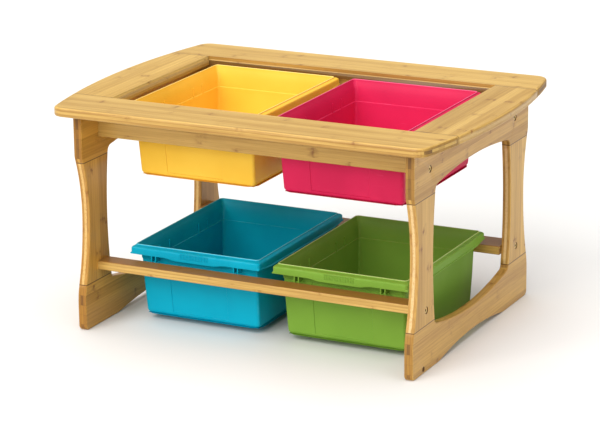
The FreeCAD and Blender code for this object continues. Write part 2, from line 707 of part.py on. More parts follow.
def apron(side):
    near, far = "APRON_IN", "(APRON_HALF + apron_thickness / 2)"
    low_y, high_y = (near, far) if side == "back" else (minus(far), minus(near))
    return long_board(f"{side}_apron", low_y, high_y, "TOP_UNDER - apron_height", "TOP_UNDER",
                      "PANEL_IN")


def lower_rail(side):
    low_y, high_y = ("RAIL_OUTER - BACK_RAIL_WIDTH", "RAIL_OUTER")
    if side == "front":
        low_y, high_y = (minus("RAIL_OUTER"), "front_rail_width - RAIL_OUTER")
    return long_board(f"{side}_lower_rail", low_y, high_y, "RAIL_TOP - rail_thickness", "RAIL_TOP",
                      "PANEL_IN")


def tub_ledge(side):
    low_y, high_y = "LEDGE_IN", "APRON_IN"
    if side == "front":
        low_y, high_y = minus("APRON_IN"), minus("LEDGE_IN")
    return long_board(f"{side}_tub_ledge", low_y, high_y, "LEDGE_TOP - ledge_height", "LEDGE_TOP",
                      "PANEL_IN - ledge_gap")


LEDGE_SCREW_X = ("-OPENING_LENGTH * 0.4", "0", "OPENING_LENGTH * 0.4")
SCREW_Z = "LEDGE_TOP - ledge_height / 2"


def ledge_screws():
    """Countersunk wood screws that hold the ledges on the aprons."""
    screws = []
    for sign in SIDES.values():
        turn = FreeCAD.Rotation(FreeCAD.Vector(1, 0, 0), -90 * sign)
        for x in LEDGE_SCREW_X:
            head = doc.addObject("Part::Cone", "ledge_screw_head")
            shank = doc.addObject("Part::Cylinder", "ledge_screw_shank")
            bind(head, Radius1="screw_head / 2", Radius2="screw_diameter / 2",
                 Height="screw_diameter / 2")
            bind(shank, Radius="screw_diameter / 2",
                 Height="min(screw_length; apron_thickness + APRON_IN - LEDGE_IN - screw_end_room)")
            for item in (head, shank):
                item.Placement = FreeCAD.Placement(FreeCAD.Vector(), turn)
                place(item, x, signed(sign, "LEDGE_IN"), SCREW_Z)
            screw = doc.addObject("Part::Fuse", "ledge_screw")
            screw.Base = head
            screw.Tool = shank
            screws.append(screw)
    return group("ledge_screws", screws)


# ---------------------------------------------------------------- tubs

# Inset and rise of the points that round the foot of a tub's walls, as shares of the rounding.
FOOT_STEPS = [(1 - math.sin(math.radians(angle)), 1 - math.cos(math.radians(angle)))
              for angle in (0, 30, 60, 90)]


def loft(body, kind, sections):
    """Join sections, each (height, half length, half depth, corner radius), by ruled surfaces."""
    sketches = [draw(new_sketch(body, "XY_Plane", height), rectangle(half_x, half_y, corner))
                for height, half_x, half_y, corner in sections]
    form = body.newObject(kind, body.Name + "_form")
    form.Profile = sketches[0]
    form.Sections = sketches[1:]
    form.Ruled = True
    doc.recompute()


def body_sections(inset):
    """The tub's tapered form, rounded at the foot; inset shrinks it on the sides and foot."""
    foot = f"(tub_floor_corner - {inset})"
    corner = f"(rim_corner - {inset})"
    sections = []
    for share_in, share_up in FOOT_STEPS:
        rise = f"({inset} + {foot} * {share_up:.5f})"
        pinch = f"({inset} + {foot} * {share_in:.5f})"
        lean = f"(1 - {rise} / (tub_height - neck_depth))"
        sections.append((rise, f"(NECK_X - side_taper * {lean} - {pinch})",
                         f"(NECK_Y - end_taper * {lean} - {pinch})",
                         f"({corner} - {foot} * {share_in:.5f})"))
    sections.append(("tub_height - neck_depth", f"(NECK_X - {inset})", f"(NECK_Y - {inset})", corner))
    sections.append(("tub_height", f"(BODY_X - {inset})", f"(BODY_Y - {inset})", corner))
    return sections


def rim_sections(inset):
    """The hooked rim: a skirt, and above it a flange that rises to the ridge at the tub's mouth."""
    half_x = f"(TUB_LENGTH / 2 - {inset})"
    half_y = f"(RIM_Y - {inset})"
    corner = f"(rim_corner - {inset})"
    return [
        ("tub_height - rim_drop", half_x, half_y, corner),
        (f"tub_height - rim_slope - {inset}", half_x, half_y, corner),
        (f"tub_height - {inset}", f"(BODY_X - {inset})", f"(BODY_Y - {inset})", corner),
    ]


def tub(name, x, y, rim_z):
    """A tapered tub with a hooked rim, grips at front and back, and bearing ribs under the rim.
    It is drawn standing on the XY plane and then lifted to its place."""
    body = new_body(name)
    loft(body, "PartDesign::AdditiveLoft", rim_sections("0"))
    loft(body, "PartDesign::SubtractiveLoft", rim_sections("tub_wall"))
    trim = new_sketch(body, "XY_Plane", "tub_height - rim_drop")
    trim_x = "(TUB_LENGTH / 2 - rim_corner)"
    for sign in SIDES.values():
        near, far = signed(sign, "BODY_Y"), signed(sign, "RIM_Y + tub_wall")
        draw(trim, [(minus(trim_x), near), (trim_x, near), (trim_x, far), (minus(trim_x), far)])
    pocket = body.newObject("PartDesign::Pocket", body.Name + "_pocket")
    pocket.Profile = trim
    pocket.Reversed = True
    bind(pocket, Length="rim_drop - fascia_drop")
    doc.recompute()
    grips = new_sketch(body, "XY_Plane", "tub_height - rim_drop")
    grip_radius = "((grip_half^2 + grip_bulge^2) / (2 * grip_bulge))"
    for sign in SIDES.values():
        edge_y = signed(sign, "RIM_Y")
        inner_y = signed(sign, "RIM_Y - tub_wall / 2")
        draw(grips, [(signed(sign, "grip_half"), edge_y, grip_radius, 1),
                     (signed(-sign, "grip_half"), edge_y),
                     (signed(-sign, "grip_half"), inner_y), (signed(sign, "grip_half"), inner_y)])
    add_pad(body, grips, "rim_drop - rim_slope")
    loft(body, "PartDesign::AdditiveLoft", body_sections("0"))

    ribs = new_sketch(body, "XY_Plane", "tub_height - hang_depth")
    rib_in = "(NECK_Y - end_taper)"
    for y_sign in SIDES.values():
        for x_sign in ENDS.values():
            for step in (-1, 1):
                middle = f"{signed(x_sign, 'rib_half_spacing')} + {step} * rib_gap / 2"
                low_x = f"{middle} - rib_thickness / 2"
                high_x = f"{middle} + rib_thickness / 2"
                near, far = signed(y_sign, rib_in), signed(y_sign, "RIM_Y")
                draw(ribs, [(low_x, near), (high_x, near), (high_x, far), (low_x, far)])
    add_pad(body, ribs, "hang_depth - rim_slope - tub_wall / 2")

    solid_volume = body.Shape.Volume
    loft(body, "PartDesign::SubtractiveLoft", body_sections("tub_wall"))
    if body.Shape.Volume > 0.4 * solid_volume:
        raise RuntimeError(name + " is not hollow")
    place(body, x, y, f"{rim_z} - tub_height")
    return body


# ---------------------------------------------------------------- assembly

def build():
    """Make every piece and return them by node name."""
    apron_spots = [(signed(sign, "APRON_HALF"), "APRON_BOLT_Z") for sign in SIDES.values()]
    rail_spots = [(signed(sign, "RAIL_BOLT_Y"), "rail_height") for sign in SIDES.values()]
    apron_dowel_spots = [(signed(sign, "APRON_HALF"), "APRON_DOWEL_Z") for sign in SIDES.values()]
    rail_dowel_spots = [
        (signed(-1, "RAIL_OUTER - front_rail_width + dowel_diameter"), "rail_height"),
        (signed(1, "WINDOW_HALF + 2 * dowel_diameter"), "rail_height"),
    ]
    pieces = {
        "left_panel_dowels": panel_dowels("left"),
        "right_panel_dowels": panel_dowels("right"),
        "top_frame_dowels": top_frame_dowels(),
        "top_fixing_dowels": top_fixing_dowels(),
        "apron_dowels": end_dowels("apron_dowels", apron_dowel_spots),
        "rail_dowels": end_dowels("rail_dowels", rail_dowel_spots),
        "apron_bolts": bolts("apron_bolts", apron_spots),
        "rail_bolts": bolts("rail_bolts", rail_spots),
        "apron_barrel_nuts": barrel_nuts("apron_barrel_nuts", apron_spots, "Y"),
        "rail_barrel_nuts": barrel_nuts("rail_barrel_nuts", rail_spots, "Z"),
        "ledge_screws": ledge_screws(),
    }
    for end, end_sign in ENDS.items():
        glued = pieces[f"{end}_panel_dowels"]
        apron_tools = bolt_holes("apron_bolt", apron_spots, (end_sign,))
        rail_tools = bolt_holes("rail_bolt", rail_spots, (end_sign,))
        upper_tools = [glued, pieces["top_fixing_dowels"], pieces["apron_dowels"]] + apron_tools
        pieces[f"{end}_upper_board"] = cut(f"{end}_upper_board", upper_board(end), upper_tools)
        base_tools = [glued]
        if end == "right":
            mouth = ("FRAME_LENGTH / 2", "access_hole_inset - FOOT_HALF", "access_hole_height")
            base_tools.append(rod("access_hole", "-X", mouth, "access_hole_diameter",
                                  "access_hole_depth"))
        pieces[f"{end}_base_board"] = cut(f"{end}_base_board", base_board(end), base_tools)
        for side in SIDES:
            name = f"{end}_{side}_leg"
            leg_tools = [glued, pieces["rail_dowels"]] + rail_tools
            pieces[name] = cut(name, leg(end, side), leg_tools)
    for side, sign in SIDES.items():
        board = f"top_{side}_board"
        tools = [pieces["top_frame_dowels"], pieces["top_fixing_dowels"]]
        pieces[board] = cut(board, long_top_board(side), tools)
        apron_tools = bolt_holes("apron_bolt", apron_spots)
        seats = [(signed(sign, "APRON_HALF"), "APRON_BOLT_Z", -sign)]
        apron_tools += nut_holes("apron_nut", seats, "Y")
        apron_tools += [pieces["top_fixing_dowels"], pieces["apron_dowels"], pieces["ledge_screws"]]
        pieces[f"{side}_apron"] = cut(f"{side}_apron", apron(side), apron_tools)
        rail_tools = bolt_holes("rail_bolt", rail_spots) + [pieces["rail_dowels"]]
        rail_tools += nut_holes("rail_nut", [(signed(sign, "RAIL_BOLT_Y"), "rail_height", -1)], "Z")
        pieces[f"{side}_lower_rail"] = cut(f"{side}_lower_rail", lower_rail(side), rail_tools)
        ledge = f"{side}_tub_ledge"
        pieces[ledge] = cut(ledge, tub_ledge(side), [pieces["ledge_screws"]])
    for end in ENDS:
        board = f"top_{end}_board"
        tools = [pieces["top_frame_dowels"], pieces["top_fixing_dowels"]]
        pieces[board] = cut(board, short_top_board(end), tools)
    upper_z = "table_height - tub_top_drop"
    lower_z = "RAIL_TOP + rest_gap + hang_depth"
    for name, sign in (("yellow_tub", -1), ("pink_tub", 1)):
        pieces[name] = tub(name, signed(sign, "TUB_SPACING / 2"), "0", upper_z)
    for name, sign in (("teal_tub", -1), ("green_tub", 1)):
        x = f"lower_tub_shift + {signed(sign, 'TUB_SPACING / 2')}"
        pieces[name] = tub(name, x, "LOWER_TUB_Y", lower_z)
    return pieces


def write(pieces):
    """Check the document and every piece, then write one file for each piece."""
    doc.recompute()
    for obj in doc.Objects:
        if "Invalid" in obj.State or "Error" in obj.State:
            raise RuntimeError(f"{obj.Name} failed: {obj.State}")
        if obj.isDerivedFrom("PartDesign::Feature") and not obj.Shape.isValid():
            raise RuntimeError(obj.Name + " has a broken shape")
    for name, piece in pieces.items():
        piece.Label = name
        shape = piece.Shape
        if shape.isNull() or not shape.isValid() or not shape.Solids:
            raise RuntimeError(name + " has no valid solid")
    os.makedirs("parts", exist_ok=True)
    for name, piece in pieces.items():
        piece.Shape.exportStep(f"parts/{name}.step")
    print(len(pieces), "pieces written")


write(build())
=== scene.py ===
import math

import bmesh
import bpy
from mathutils import Matrix, Vector


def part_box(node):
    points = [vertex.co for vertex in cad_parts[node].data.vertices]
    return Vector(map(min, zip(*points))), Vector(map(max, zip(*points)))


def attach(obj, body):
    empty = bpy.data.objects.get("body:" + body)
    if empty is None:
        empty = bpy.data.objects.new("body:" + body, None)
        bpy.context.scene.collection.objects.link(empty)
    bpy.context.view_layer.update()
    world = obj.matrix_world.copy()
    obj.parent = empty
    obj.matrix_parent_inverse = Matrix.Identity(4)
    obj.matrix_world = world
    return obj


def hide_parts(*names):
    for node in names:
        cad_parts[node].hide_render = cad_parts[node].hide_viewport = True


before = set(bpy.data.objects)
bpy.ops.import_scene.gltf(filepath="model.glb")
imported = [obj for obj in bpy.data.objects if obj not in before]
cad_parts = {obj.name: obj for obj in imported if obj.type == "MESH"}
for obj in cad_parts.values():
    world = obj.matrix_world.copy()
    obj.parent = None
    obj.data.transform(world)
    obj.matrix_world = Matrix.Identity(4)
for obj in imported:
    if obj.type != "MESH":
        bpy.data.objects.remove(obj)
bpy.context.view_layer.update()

MM = 0.001
X, Y, Z = range(3)


# ---------------------------------------------------------------- camera, light and floor

CAMERA_PLACE = Vector((2.1772, -4.4112, 1.6500))
CAMERA_YAW = math.radians(26.41)
CAMERA_PITCH = math.radians(-16.43)
CAMERA_ROLL = math.radians(-0.59)
LENS_MM = 152.98
SENSOR_MM = 36
FLOOR_SIDE = 40
FLOOR_COLOUR = (0.80, 0.79, 0.77, 1)
FLOOR_ROUGHNESS = 0.6
STUDIO_GLOW = 0.44

# name, side that it shines from, width in degrees, power
SUNS = [("key", (-0.14, -0.82, 0.62), 50, 2.6),
        ("overhead", (-0.10, 0.05, 1.0), 60, 1.65),
        ("side", (0.80, -0.25, 0.55), 50, 0.45)]


def add_camera():
    """A long lens from the front right, a little above the table top."""
    forward = Vector((-math.sin(CAMERA_YAW) * math.cos(CAMERA_PITCH),
                      math.cos(CAMERA_YAW) * math.cos(CAMERA_PITCH), math.sin(CAMERA_PITCH)))
    level = Vector((math.cos(CAMERA_YAW), math.sin(CAMERA_YAW), 0))
    upward = level.cross(forward)
    right = level * math.cos(CAMERA_ROLL) + upward * math.sin(CAMERA_ROLL)
    up = upward * math.cos(CAMERA_ROLL) - level * math.sin(CAMERA_ROLL)
    data = bpy.data.cameras.new("camera")
    data.lens = LENS_MM
    data.sensor_width = SENSOR_MM
    data.clip_end = 100
    camera = bpy.data.objects.new("camera", data)
    bpy.context.scene.collection.objects.link(camera)
    turn = Matrix((right, up, -forward)).transposed().to_4x4()
    camera.matrix_world = Matrix.Translation(CAMERA_PLACE) @ turn
    bpy.context.scene.camera = camera


def add_sun(name, side, spread, power):
    """A very broad soft light shining from one side; spread is its angle in degrees."""
    data = bpy.data.lights.new(name, "SUN")
    data.angle = math.radians(spread)
    data.energy = power
    light = bpy.data.objects.new(name, data)
    bpy.context.scene.collection.objects.link(light)
    side = Vector(side)
    aim = (-side).to_track_quat("-Z", "Y")
    light.matrix_world = Matrix.Translation(side * 4) @ aim.to_matrix().to_4x4()


def add_stage():
    """A plain pale floor under plain soft studio light."""
    bpy.ops.object.select_all(action="DESELECT")
    bpy.ops.mesh.primitive_plane_add(size=FLOOR_SIDE, location=(0, 0, 0))
    floor = bpy.context.object
    floor.name = "studio_floor"
    look = bpy.data.materials.new("floor_white")
    look.use_nodes = True
    shader = look.node_tree.nodes["Principled BSDF"]
    shader.inputs["Base Color"].default_value = FLOOR_COLOUR
    shader.inputs["Roughness"].default_value = FLOOR_ROUGHNESS
    floor.data.materials.append(look)
    world = bpy.data.worlds.new("studio")
    world.use_nodes = True
    backdrop = world.node_tree.nodes["Background"]
    backdrop.inputs["Color"].default_value = (1, 1, 1, 1)
    backdrop.inputs["Strength"].default_value = STUDIO_GLOW
    bpy.context.scene.world = world
    for sun in SUNS:
        add_sun(*sun)
    bpy.context.scene.view_settings.view_transform = "Standard"


# ---------------------------------------------------------------- shader sums

class Value:
    """Something that varies over a surface; arithmetic on it adds Math nodes."""

    def __init__(self, look, socket):
        self.look = look
        self.socket = socket

    def sum(self, operation, *values):
        return self.look.node("ShaderNodeMath", {"operation": operation}, list(values))

    def __add__(self, other):
        return self.sum("ADD", self, other)

    def __radd__(self, other):
        return self.sum("ADD", other, self)

    def __sub__(self, other):
        return self.sum("SUBTRACT", self, other)

    def __rsub__(self, other):
        return self.sum("SUBTRACT", other, self)

    def __mul__(self, other):
        return self.sum("MULTIPLY", self, other)

    def __rmul__(self, other):
        return self.sum("MULTIPLY", other, self)

    def __truediv__(self, other):
        return self.sum("DIVIDE", self, other)

    def __abs__(self):
        return self.sum("ABSOLUTE", self)

    def floor(self):
        return self.sum("FLOOR", self)

    def part(self):
        """What is left after the whole number."""
        return self.sum("FRACT", self)

    def root(self):
        return self.sum("SQRT", self)

    def most(self, other):
        return self.sum("MAXIMUM", self, other)

    def ramp(self, low, high, start=0.0, end=1.0):
        """From start to end, smoothly, as the value goes from low to high."""
        return self.look.node("ShaderNodeMapRange", {"interpolation_type": "SMOOTHSTEP"},
                              [self, low, high, start, end])


class Look:
    """A material on one shader, built up from its Object coordinates."""

    def __init__(self, name):
        self.material = bpy.data.materials.new(name)
        self.material.use_nodes = True
        self.tree = self.material.node_tree
        self.shader = self.tree.nodes["Principled BSDF"]

    def node(self, kind, settings=None, inputs=(), output=0):
        made = self.tree.nodes.new(kind)
        for setting, choice in (settings or {}).items():
            setattr(made, setting, choice)
        named = inputs.items() if isinstance(inputs, dict) else enumerate(inputs)
        for key, given in named:
            self.feed(made.inputs[key], given)
        return Value(self, made.outputs[output])

    def feed(self, socket, given):
        if isinstance(given, Value):
            self.tree.links.new(given.socket, socket)
        else:
            socket.default_value = given

    def set(self, **finish):
        """Feed or set the shader's sockets; an underscore stands for a space."""
        for socket, given in finish.items():
            self.feed(self.shader.inputs[socket.replace("_", " ")], given)

    def place(self):
        """Object coordinates as (all three, x, y, z)."""
        spot = self.node("ShaderNodeTexCoord", output="Object")
        return (spot, *self.split(spot))

    def facing(self):
        """The surface's direction as (x, y, z), each without its sign."""
        normal = self.node("ShaderNodeTexCoord", output="Normal")
        return tuple(abs(part) for part in self.split(normal))

    def split(self, vector):
        return tuple(self.node("ShaderNodeSeparateXYZ", inputs=[vector], output=axis)
                     for axis in range(3))

    def join(self, x, y, z):
        return self.node("ShaderNodeCombineXYZ", inputs=[x, y, z])

    def noise(self, vector, scale, detail=2.0, rough=0.5):
        return self.node("ShaderNodeTexNoise", inputs={"Vector": vector, "Scale": scale,
                                                       "Detail": detail, "Roughness": rough})

    def chance(self, vector):
        """One number from 0 to 1 for each whole-numbered place."""
        return self.node("ShaderNodeTexWhiteNoise", inputs={"Vector": vector})

    def blend(self, share, first, second, kind="MIX"):
        return self.node("ShaderNodeMix", {"data_type": "RGBA", "blend_type": kind},
                         {0: share, 6: first, 7: second}, output=2)

    def off_axis(self, facing):
        """0 where the surface faces along an axis, and up to 0.42 where it turns away."""
        return 1 - facing[X].most(facing[Y]).most(facing[Z])

    def disc(self, place, centre, inner, outer):
        """1 inside a circle round an axis along the table, fading to 0 from inner to outer."""
        off_y, off_z = place[0] - centre[0], place[1] - centre[1]
        return (off_y * off_y + off_z * off_z).root().ramp(inner, outer, 1.0, 0.0)

    def relief(self, height, distance, strength=1.0):
        """Turn a height from 0 to 1 into bumps that deep."""
        bump = self.node("ShaderNodeBump", inputs={"Strength": strength, "Distance": distance,
                                                   "Height": height})
        self.set(Normal=bump)


# ---------------------------------------------------------------- materials

PALE_BAMBOO = (0.74, 0.480, 0.130, 1)
WARM_BAMBOO = (0.43, 0.235, 0.043, 1)
# brown of knuckles and fibres, also used as painted shade on the rails' broad faces
KNUCKLE_AND_SHADE_BROWN = (0.27, 0.115, 0.020, 1)
EDGE_CREAM = (0.76, 0.56, 0.27, 1)
END_BROWN = (0.12, 0.052, 0.014, 1)
# dark brown of glue lines, also used as painted shade in holes and key sockets
GLUE_AND_SHADE_BROWN = (0.105, 0.040, 0.007, 1)
BEECH_PALE = (0.62, 0.42, 0.24, 1)
BEECH_WARM = (0.50, 0.31, 0.16, 1)
BEECH_FLECK = (0.28, 0.15, 0.07, 1)
PASSIVATED_YELLOW = (1.0, 0.80, 0.38, 1)
PASSIVATED_BROWN = (0.74, 0.50, 0.18, 1)
ZINC_BRIGHT = (0.62, 0.62, 0.63, 1)
ZINC_DULL = (0.42, 0.41, 0.40, 1)
STRIP = 20 * MM
PLY = 6 * MM
KNUCKLE_PITCH = 0.24


def bamboo(name, grain, width, thickness, face, seams=(), tint_and_painted_light=(1, 1, 1), bores=(),
           painted_face_shade=0, edge_shade=0.14, cream=0):
    """Laminated bamboo under satin lacquer. grain, width and thickness are the axes that the
    strips run along, lie side by side in and are stacked in, and face is where the first ply
    starts. seams are (axis, distance from the middle) of glue lines against the next board, and
    bores are (y, z, radius) of holes along the table, painted dark as painted shade. The face
    shade is painted shade that darkens the broad faces, and the edge shade darkens the edges.
    The tint multiplies the colour, and on the left boards it is painted warm bounce light and
    shade. cream is how far the middle ply shows pale along an edge."""
    look = Look(name)
    spot, *axes = look.place()
    facing = look.facing()

    # which strip and ply this is: they give every block of bamboo its own tone
    along, across = axes[grain], axes[width]
    depth = abs(axes[thickness]) - face
    strip_place = across / STRIP + 0.37
    strip = strip_place.floor()
    ply_place = depth / PLY
    ply = ply_place.floor()
    block = look.chance(look.join(strip, ply, grain))
    other_block = look.chance(look.join(strip, ply, grain + 11))
    middle_ply = abs(ply_place - 1.5).ramp(0.44, 0.5, 1.0, 0.0)

    # grain along the strips
    streaks = look.noise(look.join(along * 5, across * 260, depth * 260), 1.0, 3.0, 0.62)
    fibres = look.noise(look.join(along * 22, across * 1300, depth * 1300), 1.0, 2.0, 0.7)
    drift = look.noise(look.join(along * 2.2, across * 14, depth * 14), 1.0, 2.0)
    tone = block * 0.52 + streaks.ramp(0.34, 0.66) * 0.36 + drift.ramp(0.38, 0.62) * 0.20
    colour = look.blend(tone, PALE_BAMBOO, WARM_BAMBOO)
    colour = look.blend(fibres.ramp(0.54, 0.75) * 0.38, colour, KNUCKLE_AND_SHADE_BROWN)

    # knuckles across the strips, at another place in each block
    wander = look.noise(look.join(along * 30, across * 90, depth * 90), 1.0)
    knuckle_place = along / KNUCKLE_PITCH + block * 3.7 + (wander - 0.5) * 0.03
    from_knuckle = abs(knuckle_place.part() - 0.5) * KNUCKLE_PITCH
    ragged = look.noise(look.join(along * 70, across * 150, depth * 150), 1.0, 3.0)
    core = from_knuckle.ramp(0.8 * MM, 4.5 * MM, 1.0, 0.0) * ragged.ramp(0.34, 0.60)
    halo = from_knuckle.ramp(2 * MM, 17 * MM, 1.0, 0.0) * ragged.ramp(0.40, 0.66)
    knuckle = (core * 0.48 + halo * 0.52) * other_block.ramp(0.2, 0.55, 0.3, 1.0)
    colour = look.blend(knuckle, colour, KNUCKLE_AND_SHADE_BROWN)

    # joints between strips, plies that show along the edges, and painted shade on the broad faces
    strip_gap = abs(strip_place.part() - 0.5).ramp(0.478, 0.497)
    colour = look.blend(strip_gap * 0.34, colour, KNUCKLE_AND_SHADE_BROWN)
    ply_gap = abs(ply_place.part() - 0.5).ramp(0.40, 0.48)
    on_edge = facing[width].ramp(0.55, 0.85)
    edge_tone = ((1 - middle_ply * 0.4) * edge_shade + (1 - middle_ply) * cream * 0.22
                 + streaks.ramp(0.4, 0.6) * 0.12 + ply_gap * 0.3)
    # painted shade: the face shade darkens the broad faces; on the rails it stands in for the
    # shade under the table top and tubs
    colour = look.blend(on_edge * edge_tone + (1 - on_edge) * painted_face_shade, colour, KNUCKLE_AND_SHADE_BROWN)
    flecks = look.noise(look.join(along * 240, across * 500, depth * 500), 1.0, 2.0)
    pale_ply = on_edge * middle_ply * flecks.ramp(0.30, 0.55, 0.45, 1.0)
    colour = look.blend(pale_ply * cream, colour, EDGE_CREAM)

    # pores and layers on the cut ends
    end = facing[grain].ramp(0.55, 0.85)
    pores = look.node("ShaderNodeTexVoronoi", {"feature": "F1"},
                      {"Vector": spot, "Scale": 900.0})
    pore = pores.ramp(0.12, 0.45, 1.0, 0.0)
    layers = look.noise(look.join(along * 3, across * 40, depth * 900), 1.0, 2.0)
    end_tone = (middle_ply * other_block.ramp(0.45, 0.6) * 0.48 + block * 0.26 + pore * 0.14
                + ply_gap * 0.35 + strip_gap * 0.35 + layers.ramp(0.4, 0.62) * 0.18)
    end_colour = look.blend(end_tone, WARM_BAMBOO, END_BROWN)
    end_colour = look.blend(middle_ply * other_block.ramp(0.12, 0.3, 0.6, 0.0), end_colour,
                            PALE_BAMBOO)
    colour = look.blend(end, colour, end_colour)

    # rubbed corners, partly a painted highlight, glue lines, and painted shade in bored holes
    # rubbed corners: rounded edges lightened at random, partly wear and partly a painted highlight
    rubbed_and_highlit = (look.off_axis(facing).ramp(0.05, 0.28)
              * look.noise(spot, 38.0, 3.0).ramp(0.42, 0.7))
    colour = look.blend(rubbed_and_highlit * 0.30, colour, PALE_BAMBOO)
    for axis, distance in seams:
        off_seam = abs(abs(axes[axis]) - distance)
        beside = off_seam.ramp(1.2 * MM, 2.4 * MM, 1.0, 0.0)
        colour = look.blend(beside * 0.3, colour, PALE_BAMBOO)
        line = off_seam.ramp(0.8 * MM, 1.4 * MM, 1.0, 0.0)
        colour = look.blend(line * 0.85, colour, GLUE_AND_SHADE_BROWN)
    # painted shade: each bored hole is painted dark brown where shade falls in it
    for *centre, radius in bores:
        shaded = look.disc(axes[Y:], centre, radius + 0.1 * MM, radius + 0.9 * MM)
        colour = look.blend(shaded * 0.88, colour, GLUE_AND_SHADE_BROWN)
    # the tint multiplies the colour; on the left panel and legs it is painted warm bounce light
    # and shade
    colour = look.blend(1.0, colour, (*tint_and_painted_light, 1), "MULTIPLY")

    smears = look.noise(spot, 9.0, 3.0)
    roughness = 0.30 + smears * 0.12 + fibres * 0.07 + end * 0.16 + rubbed_and_highlit * 0.1
    look.set(Base_Color=colour, Roughness=roughness, Coat_Weight=0.14 - end * 0.10,
             Coat_Roughness=0.14, Specular_IOR_Level=0.32)
    look.relief(fibres * 0.35 + streaks * 0.35 - knuckle * 0.5 - strip_gap * 0.4
                - pore * end * 0.5, 0.12 * MM, 0.5)
    return look.material


def plain_beech(name):
    """Turned beech with fine flecks."""
    look = Look(name)
    spot = look.place()[0]
    fleck = look.noise(spot, 420.0, 3.0)
    cloud = look.noise(spot, 30.0, 2.0)
    colour = look.blend(cloud.ramp(0.3, 0.7), BEECH_PALE, BEECH_WARM)
    colour = look.blend(fleck.ramp(0.55, 0.7) * 0.4, colour, BEECH_FLECK)
    look.set(Base_Color=colour, Roughness=0.55 + fleck * 0.2)
    look.relief(fleck, 0.1 * MM, 0.4)
    return look.material


def plated_metal(name, clean, stained, roughness, sockets=()):
    """Plated steel: passivated colour, fine turning marks and small stains. sockets are
    (y, z, radius) of key sockets along the table, painted dark as painted shade."""
    look = Look(name)
    spot, x, y, z = look.place()
    stain = look.noise(spot, 260.0, 4.0, 0.65)
    marks = look.noise(look.join(x * 60, y * 2600, z * 2600), 1.0, 2.0)
    colour = look.blend(stain.ramp(0.42, 0.72), clean, stained)
    # painted shade: each key socket is painted dark where shade falls in it
    for *centre, radius in sockets:
        shaded = look.disc((y, z), centre, radius - 0.3 * MM, radius + 0.3 * MM)
        colour = look.blend(shaded * 0.92, colour, GLUE_AND_SHADE_BROWN)
    look.set(Base_Color=colour, Metallic=1.0, Roughness=roughness + stain * 0.18 + marks * 0.08)
    look.relief(marks, 0.03 * MM, 0.5)
    return look.material


def moulded_plastic(name, bright, deep, pale_and_highlight, ridge_z):
    """Satin moulded polypropylene: fine spark texture, flow clouding, rubbed edges that are partly
    a painted highlight, and scuffs. ridge_z is the height of the rim's ridge, which is painted
    paler as a highlight."""
    look = Look(name)
    spot, x, y, z = look.place()
    facing = look.facing()
    cloud = look.noise(spot, 7.0, 3.0)
    grain = look.noise(spot, 1500.0, 2.0, 0.7)
    colour = look.blend(cloud.ramp(0.3, 0.7), bright, deep)
    scuff_field = look.noise(look.join(x * 40, y * 40, z * 420), 1.0, 3.0, 0.7)
    scuff = scuff_field.ramp(0.63, 0.74) * look.noise(spot, 16.0, 2.0).ramp(0.48, 0.66)
    # rubbed edges: rounded edges lightened at random, partly wear and partly a painted highlight
    rubbed_and_highlit = (look.off_axis(facing).ramp(0.04, 0.25)
              * look.noise(spot, 60.0, 3.0).ramp(0.38, 0.66))
    # painted highlight: a pale band along the top of the rim's ridge
    ridge = z.ramp(ridge_z - 1.6 * MM, ridge_z - 0.4 * MM)
    colour = look.blend(scuff * 0.12 + rubbed_and_highlit * 0.10 + ridge * 0.6, colour, pale_and_highlight)
    look.set(Base_Color=colour, Roughness=0.33 + grain * 0.08 + cloud * 0.08 + scuff * 0.22,
             Coat_Weight=0.05 - scuff * 0.04, Coat_Roughness=0.2, Specular_IOR_Level=0.08)
    look.relief(grain * 0.6 + scuff_field * 0.25, 0.08 * MM, 0.35)
    return look.material


# ---------------------------------------------------------------- wooden boards and fittings

WELD = 0.01 * MM
BOARD_ANGLE = 32
BOLT_HEAD = 5.75 * MM
BOLT_SOCKET = 2.6 * MM
COUNTERBORE = 6.75 * MM
FOOT_HOLE = 5 * MM
FOOT_HOLE_INSET = 51 * MM
FOOT_HOLE_HEIGHT = 9 * MM


def deselect():
    bpy.ops.object.select_all(action="DESELECT")


def take(piece):
    """Make one piece the only selected one."""
    deselect()
    piece.select_set(True)
    bpy.context.view_layer.objects.active = piece


def smooth(piece, angle):
    """Smooth shading up to an angle in degrees, led by the larger faces."""
    take(piece)
    bpy.ops.object.shade_smooth_by_angle(angle=math.radians(angle))
    weighted = piece.modifiers.new("even_normals", "WEIGHTED_NORMAL")
    weighted.keep_sharp = True
    weighted.mode = "FACE_AREA_WITH_ANGLE"
    bpy.ops.object.modifier_apply(modifier=weighted.name)


def finished_copy(node, body, material):
    """A board or fitting with its CAD shape, welded and smoothed."""
    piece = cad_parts[node].copy()
    piece.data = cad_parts[node].data.copy()
    piece.name = node + "_finished"
    piece.parent = None
    piece.matrix_world = Matrix.Identity(4)
    bpy.context.scene.collection.objects.link(piece)
    mesh = bmesh.new()
    mesh.from_mesh(piece.data)
    bmesh.ops.remove_doubles(mesh, verts=mesh.verts, dist=WELD)
    mesh.to_mesh(piece.data)
    mesh.free()
    piece.data.materials.clear()
    piece.data.materials.append(material)
    smooth(piece, BOARD_ANGLE)
    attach(piece, body)
    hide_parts(node)


def bolt_centres():
    """Where the bolts come out of an end panel, as (y, z)."""
    centres = []
    for node in ("apron_bolts", "rail_bolts"):
        low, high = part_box(node)
        for y in (low[Y] + BOLT_HEAD, high[Y] - BOLT_HEAD):
            centres.append((y, (low[Z] + high[Z]) / 2))
    return centres


